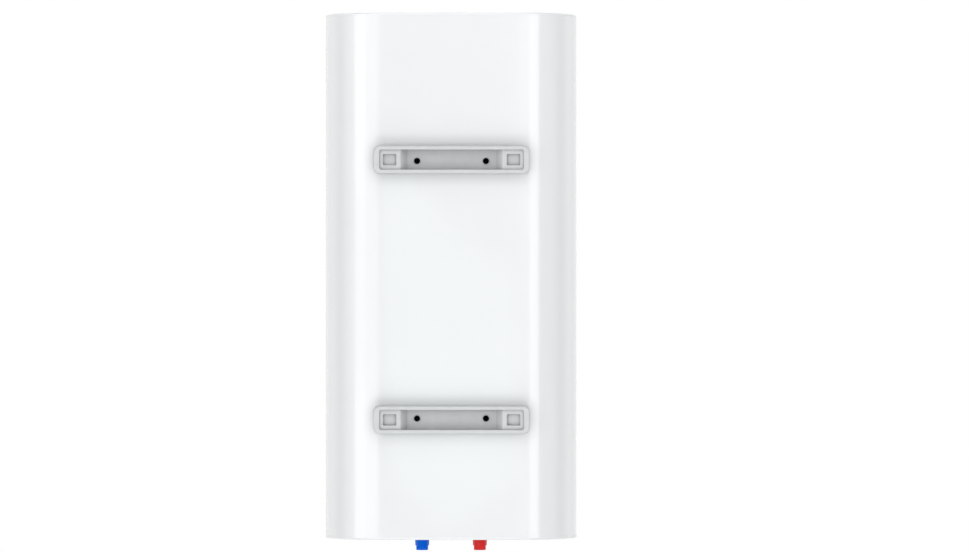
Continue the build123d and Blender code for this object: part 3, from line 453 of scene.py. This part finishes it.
crossScrews("cross_recess_cap_screws", "bottom_cap_screws")

# white print round the temperature knob, in millimetres and degrees clockwise from the top
dial = {
    "numbers": ("30", "40", "50", "60", "70"),
    "first": 225,
    "sweep": 270,
    "steps": 20,
    "ticksFrom": 15.5,
    "tickLength": 0.8,
    "longTick": 1.2,
    "tickWidth": 0.35,
    "numberReach": (19.4, 18.0),  # across and up
    "numberSize": 2.9,
    "curveSteps": 4,
    "ink": 0.05,
}
faceFront = Matrix.Rotation(math.radians(90), 4, "X")  # stands a flat shape up to face the front


def inkBar(mesh, place, width, height, ink):
    # a bar of ink that stands proud of a front face
    upright = place @ faceFront @ Matrix.Diagonal((width * mm, height * mm, 1, 1))
    made = bmesh.ops.create_grid(mesh, x_segments=1, y_segments=1, size=0.5, matrix=upright)["verts"]
    sheet = list({face for point in made for face in point.link_faces})
    raised = pointsOf(bmesh.ops.extrude_face_region(mesh, geom=sheet)["geom"])
    bmesh.ops.translate(mesh, verts=raised, vec=(0, -ink * mm, 0))


def inkNumber(mesh, digits, at):
    curve = bpy.data.curves.new("number", "FONT")
    curve.body = digits
    curve.size = dial["numberSize"] * mm
    curve.extrude = dial["ink"] * mm / 2
    curve.resolution_u = dial["curveSteps"]
    curve.align_x = "CENTER"
    curve.align_y = "CENTER"
    carrier = bpy.data.objects.new("number", curve)
    outline = bpy.data.meshes.new_from_object(carrier)
    outline.transform(Matrix.Translation(at) @ faceFront)
    mesh.from_mesh(outline)
    bpy.data.objects.remove(carrier)
    bpy.data.curves.remove(curve)
    bpy.data.meshes.remove(outline)


def dialPrint(name):
    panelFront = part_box("control_panel")[0].y
    knobLow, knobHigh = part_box("temperature_knob")
    centre = (knobLow + knobHigh) / 2
    centre.y = panelFront
    mesh = bmesh.new()
    perNumber = dial["steps"] // (len(dial["numbers"]) - 1)
    for step in range(dial["steps"] + 1):
        turn = math.radians(dial["first"] + dial["sweep"] * step / dial["steps"])
        length = dial["tickLength"] if step % perNumber else dial["longTick"]
        out = Matrix.Translation((0, 0, (dial["ticksFrom"] + length / 2) * mm))
        tick = Matrix.Translation(centre) @ Matrix.Rotation(turn, 4, "Y") @ out
        inkBar(mesh, tick, dial["tickWidth"], length, dial["ink"])
        if step % perNumber == 0:
            acrossReach, upReach = dial["numberReach"]
            offset = Vector((math.sin(turn) * acrossReach, -dial["ink"] / 2, math.cos(turn) * upReach))
            inkNumber(mesh, dial["numbers"][step // perNumber], centre + offset * mm)
    addPiece(name, mesh, "cap_white", "heater")


dialPrint("dial_print")

# dark inlay in the groove on the knob's face, in millimetres
knobMark = {
    "turn": 225,  # degrees clockwise from the top, at rest
    "out": 6.5,
    "size": (1.5, 6.4),
    "floor": 0.8,  # under the face
    "height": 0.4,
}


def knobInlay(name):
    knobLow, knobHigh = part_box("temperature_knob")
    centre = (knobLow + knobHigh) / 2
    centre.y = knobLow.y + knobMark["floor"] * mm
    turn = Matrix.Rotation(math.radians(knobMark["turn"]), 4, "Y")
    mesh = bmesh.new()
    groove = Matrix.Translation(centre) @ turn @ Matrix.Translation((0, 0, knobMark["out"] * mm))
    inkBar(mesh, groove, *knobMark["size"], knobMark["height"])
    addPiece(name, mesh, "panel_dark", "knob")


knobInlay("knob_mark_inlay")

# dark bars printed on the power buttons: one for the left tank, two for both, in millimetres
buttonPrint = {
    "bars": {"left": (0.0,), "right": (-1.1, 1.1)},  # places across the button
    "size": (0.9, 4.4),
    "ink": 0.05,
}
for side, places in buttonPrint["bars"].items():
    buttonLow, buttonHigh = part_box(f"{side}_power_button")
    centre = (buttonLow + buttonHigh) / 2
    mesh = bmesh.new()
    for place in places:
        face = Matrix.Translation((centre.x + place * mm, buttonLow.y, centre.z))
        inkBar(mesh, face, *buttonPrint["size"], buttonPrint["ink"])
    addPiece(f"{side}_button_bars", mesh, "panel_dark", f"{side}_button")
print("pieces: threads, cap screws, dial, knob and button marks")

# camera, behind the heater as in the photograph
shot = {
    "imageSize": (970, 552),
    "bodyCentre": (451.0, 276.4),  # pixels
    "scale": 0.5765,  # pixels per millimetre at the body's middle depth
    "distance": 9.5,  # metres to the body's middle
    "yaw": 0.4,  # degrees round to the left
    "pitch": -0.3,  # degrees, negative from below the middle
    "sensor": 36.0,
    "farthest": 100.0,  # metres that the camera sees
}
bodyLow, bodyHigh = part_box("outer_casing")
bodyMiddle = (bodyLow + bodyHigh) / 2
yaw = math.radians(shot["yaw"])
pitch = math.radians(shot["pitch"])
toCamera = Vector((math.sin(yaw) * math.cos(pitch), math.cos(yaw) * math.cos(pitch), math.sin(pitch)))
cameraData = bpy.data.cameras.new("camera")
camera = bpy.data.objects.new("camera", cameraData)
bpy.context.collection.objects.link(camera)
camera.location = bodyMiddle + toCamera * shot["distance"]
camera.rotation_euler = (-toCamera).to_track_quat("-Z", "Y").to_euler()
imageWidth, imageHeight = shot["imageSize"]
centreX, centreY = shot["bodyCentre"]
focalPixels = shot["scale"] * shot["distance"] / mm
cameraData.sensor_width = shot["sensor"]
cameraData.lens = focalPixels * shot["sensor"] / imageWidth
cameraData.shift_x = (imageWidth / 2 - centreX) / imageWidth
cameraData.shift_y = (centreY - imageHeight / 2) / imageWidth
cameraData.clip_end = shot["farthest"]
bpy.context.scene.camera = camera
bpy.context.scene.view_settings.view_transform = "Standard"
print("camera: lens", round(cameraData.lens, 1))

# white studio: a plain white ground that the camera sees, and sweeps of light from each side
groundGlow = 1.0  # how bright the ground looks
sweeps = {
    "front": {"towards": (0, -1, 0), "fade": (-0.1, 0.6), "glow": 1.1},
    "frontDip": {"towards": (0, -1, 0), "fade": (0.78, 0.97), "glow": -0.14},
    "left": {"towards": (1, 0, 0), "fade": (0.7, 0.98), "glow": 0.185},
    "right": {"towards": (-1, 0, 0), "fade": (0.7, 0.98), "glow": 0.56},
    "rearLeft": {"towards": (0.707, 0.707, 0), "fade": (0.6, 0.98), "glow": 0.737},
    "rearRight": {"towards": (-0.707, 0.707, 0), "fade": (0.6, 0.98), "glow": 0.362},
    "rearLow": {"towards": (0, 0.707, -0.707), "fade": (0.6, 0.98), "glow": 0.246},
}  # each fades in as the cosine of the angle to its middle goes from the first value to the second
world = bpy.data.worlds.new("studioWhite")
world.use_nodes = True
bpy.context.scene.world = world
worldTree = world.node_tree
worldTree.nodes.clear()
toSky = addNode(worldTree, "ShaderNodeTexCoord").outputs["Generated"]
total = None
for sweep in sweeps.values():
    towards = {1: sweep["towards"]}
    facing = addNode(worldTree, "ShaderNodeVectorMath", {0: toSky}, towards, operation="DOT_PRODUCT")
    near, full = sweep["fade"]
    fading = {"From Min": near, "From Max": full, "To Max": sweep["glow"]}
    angle = {"Value": facing.outputs["Value"]}
    fade = addNode(worldTree, "ShaderNodeMapRange", angle, fading, interpolation_type="SMOOTHSTEP")
    added = fade.outputs["Result"]
    if total:
        added = addNode(worldTree, "ShaderNodeMath", {0: added, 1: total}, operation="ADD").outputs[0]
    total = added
isSeen = addNode(worldTree, "ShaderNodeLightPath").outputs["Is Camera Ray"]
either = {"Factor": isSeen, "A": total}
glow = addNode(worldTree, "ShaderNodeMix", either, {"B": groundGlow}, data_type="FLOAT")
white = {"Color": (1, 1, 1, 1)}
backdrop = addNode(worldTree, "ShaderNodeBackground", {"Strength": glow.outputs["Result"]}, white)
addNode(worldTree, "ShaderNodeOutputWorld", {"Surface": backdrop.outputs["Background"]})

# soft boxes: tall ones stand round the back, flat ones hang above and lie below, in metres and watts
bankHeights = {"low": (-0.75, -0.22), "middle": (-0.22, 0.22), "high": (0.22, 0.75)}
banks = {
    "leftNear": {"sweep": (12, 37), "low": 3.8, "middle": 1.8, "high": 2.3},
    "leftFar": {"sweep": (37, 59), "low": 5.6, "middle": 3.9, "high": 6.2},
    "rightNear": {"sweep": (-22, -3), "low": 2.0, "middle": 2.2, "high": 3.3},
    "rightFar": {"sweep": (-40, -22), "low": 6.8, "middle": 6.4, "high": 7.2},
}  # sweeps in degrees round from the back, brightness in watts per square metre
bankDistance = 3.2
flatBack = (0, -0.02, -0.2)  # about the middle of the casing's back
flatBoxes = {
    "highBox": {"at": (0, 2.1, 2.2), "aim": flatBack, "size": (2.4, 2.6), "power": 24.5},
    "lowBox": {"at": (0, 2.0, -2.6), "aim": flatBack, "size": (2.4, 2.6), "power": 41.5},
    "highCard": {"at": (0, 0.55, 0.85), "aim": flatBack, "size": (1.4, 0.9), "power": 1.9},
    "topBox": {"at": (0, -0.75, 1.7), "aim": flatBack, "size": (1.6, 0.9), "power": 5.0},
    "leftTop": {"at": (0.2, -0.16, 0.62), "aim": (0.2, -0.16, 0), "size": (0.3, 0.24), "power": 0.2},
    "rightTop": {"at": (-0.2, -0.16, 0.62), "aim": (-0.2, -0.16, 0), "size": (0.3, 0.24), "power": 0.2},
}


def addSoftBox(name, at, aim, size, power):
    lamp = bpy.data.lights.new(name, "AREA")
    lamp.shape = "RECTANGLE"
    lamp.size, lamp.size_y = size
    lamp.energy = power
    holder = bpy.data.objects.new(name, lamp)
    bpy.context.collection.objects.link(holder)
    holder.location = at
    holder.rotation_euler = (Vector(aim) - Vector(at)).to_track_quat("-Z", "Y").to_euler()
    holder.visible_camera = False


for name, bank in banks.items():
    first, last = (math.radians(angle) for angle in bank["sweep"])
    around = (first + last) / 2
    width = 2 * bankDistance * math.tan((last - first) / 2)
    for level, (low, high) in bankHeights.items():
        aim = bodyMiddle + Vector((0, 0, (low + high) / 2))
        at = aim + Vector((math.sin(around), math.cos(around), 0)) * bankDistance
        addSoftBox(f"{name}_{level}", at, aim, (width, high - low), bank[level] * width * (high - low))
for name, box in flatBoxes.items():
    addSoftBox(name, box["at"], box["aim"], box["size"], box["power"])


def addProp(name, mesh, material):
    # a piece of the studio, which isn't part of the heater
    data = bpy.data.meshes.new(name)
    mesh.to_mesh(data)
    mesh.free()
    data.materials.append(material)
    prop = bpy.data.objects.new(name, data)
    bpy.context.collection.objects.link(prop)
    return prop


# a white card on the camera's side that only gloss shows, as a faint shape on the flat back
reflector = {
    # pixels where it shows
    "corners": ((382, 179), (408, 179), (512, 282), (522, 478), (441, 537), (390, 468)),
    "stand": 0.45,  # metres out from the wall plane
    "color": "#f4feff",
    "glow": 0.9,
}
cameraTurn = camera.rotation_euler.to_matrix()
cardMesh = bmesh.new()
for across, down in reflector["corners"]:
    ray = cameraTurn @ Vector(((across - centreX) / focalPixels, (centreY - down) / focalPixels, -1))
    reach = (camera.location.y - bodyHigh.y + reflector["stand"] - bodyHigh.y) / -ray.y
    corner = camera.location + ray * reach
    cardMesh.verts.new((corner.x, reflector["stand"], corner.z))
cardMesh.faces.new(cardMesh.verts)
cardFinish = startMaterial(
    "glowingCard",
    Base_Color=(0, 0, 0, 1),
    Emission_Color=hexColor(reflector["color"]),
    Emission_Strength=reflector["glow"],
)[0]
card = addProp("whiteCard", cardMesh, cardFinish)
card.visible_camera = False
card.visible_diffuse = False
card.visible_transmission = False
card.visible_shadow = False

# pale matt paper for a floor, which turns white far out and is clear from below, in metres
paper = {
    "drop": 0.9,  # under the body
    "radius": 6.0,
    "segments": 96,
    "tones": ("#e6e7e8", "#eaebec"),
    "glowColor": "#e8e9ea",
    "glow": 0.3,
    "fade": (2.4, 5.6),  # how far out it starts to turn white, and is white
}
floorCentre = Vector((0, bodyMiddle.y, bodyLow.z - paper["drop"]))
floorMesh = bmesh.new()
bmesh.ops.create_circle(floorMesh, cap_ends=True, segments=paper["segments"], radius=paper["radius"])
bmesh.ops.translate(floorMesh, verts=floorMesh.verts, vec=floorCentre)
floorFinish, floorTree, floorShader, floorPlace = startMaterial(
    "palePaper", Roughness=0.8, Emission_Color=hexColor(paper["glowColor"])
)
mottle(floorTree, floorShader, floorPlace, *paper["tones"], size=200)
away = addNode(floorTree, "ShaderNodeVectorMath", {0: floorPlace}, {1: floorCentre}, operation="DISTANCE")
near, far = paper["fade"]
fading = {"From Min": near, "From Max": far, "To Min": paper["glow"], "To Max": groundGlow}
outwards = {"Value": away.outputs["Value"]}
whiten = addNode(floorTree, "ShaderNodeMapRange", outwards, fading, interpolation_type="SMOOTHSTEP")
floorTree.links.new(whiten.outputs["Result"], floorShader.inputs["Emission Strength"])
below = addNode(floorTree, "ShaderNodeNewGeometry").outputs["Backfacing"]
clear = addNode(floorTree, "ShaderNodeBsdfTransparent").outputs["BSDF"]
oneSided = addNode(floorTree, "ShaderNodeMixShader", {0: below, 1: floorShader.outputs["BSDF"], 2: clear})
floorTree.links.new(oneSided.outputs[0], floorTree.nodes["Material Output"].inputs["Surface"])
floor = addProp("paleFloor", floorMesh, floorFinish)
floor.visible_diffuse = False  # low light reaches the heater as if no floor were there
floor.visible_glossy = False
floor.visible_shadow = False
print("studio:", len(banks), "banks,", len(flatBoxes), "flat boxes")
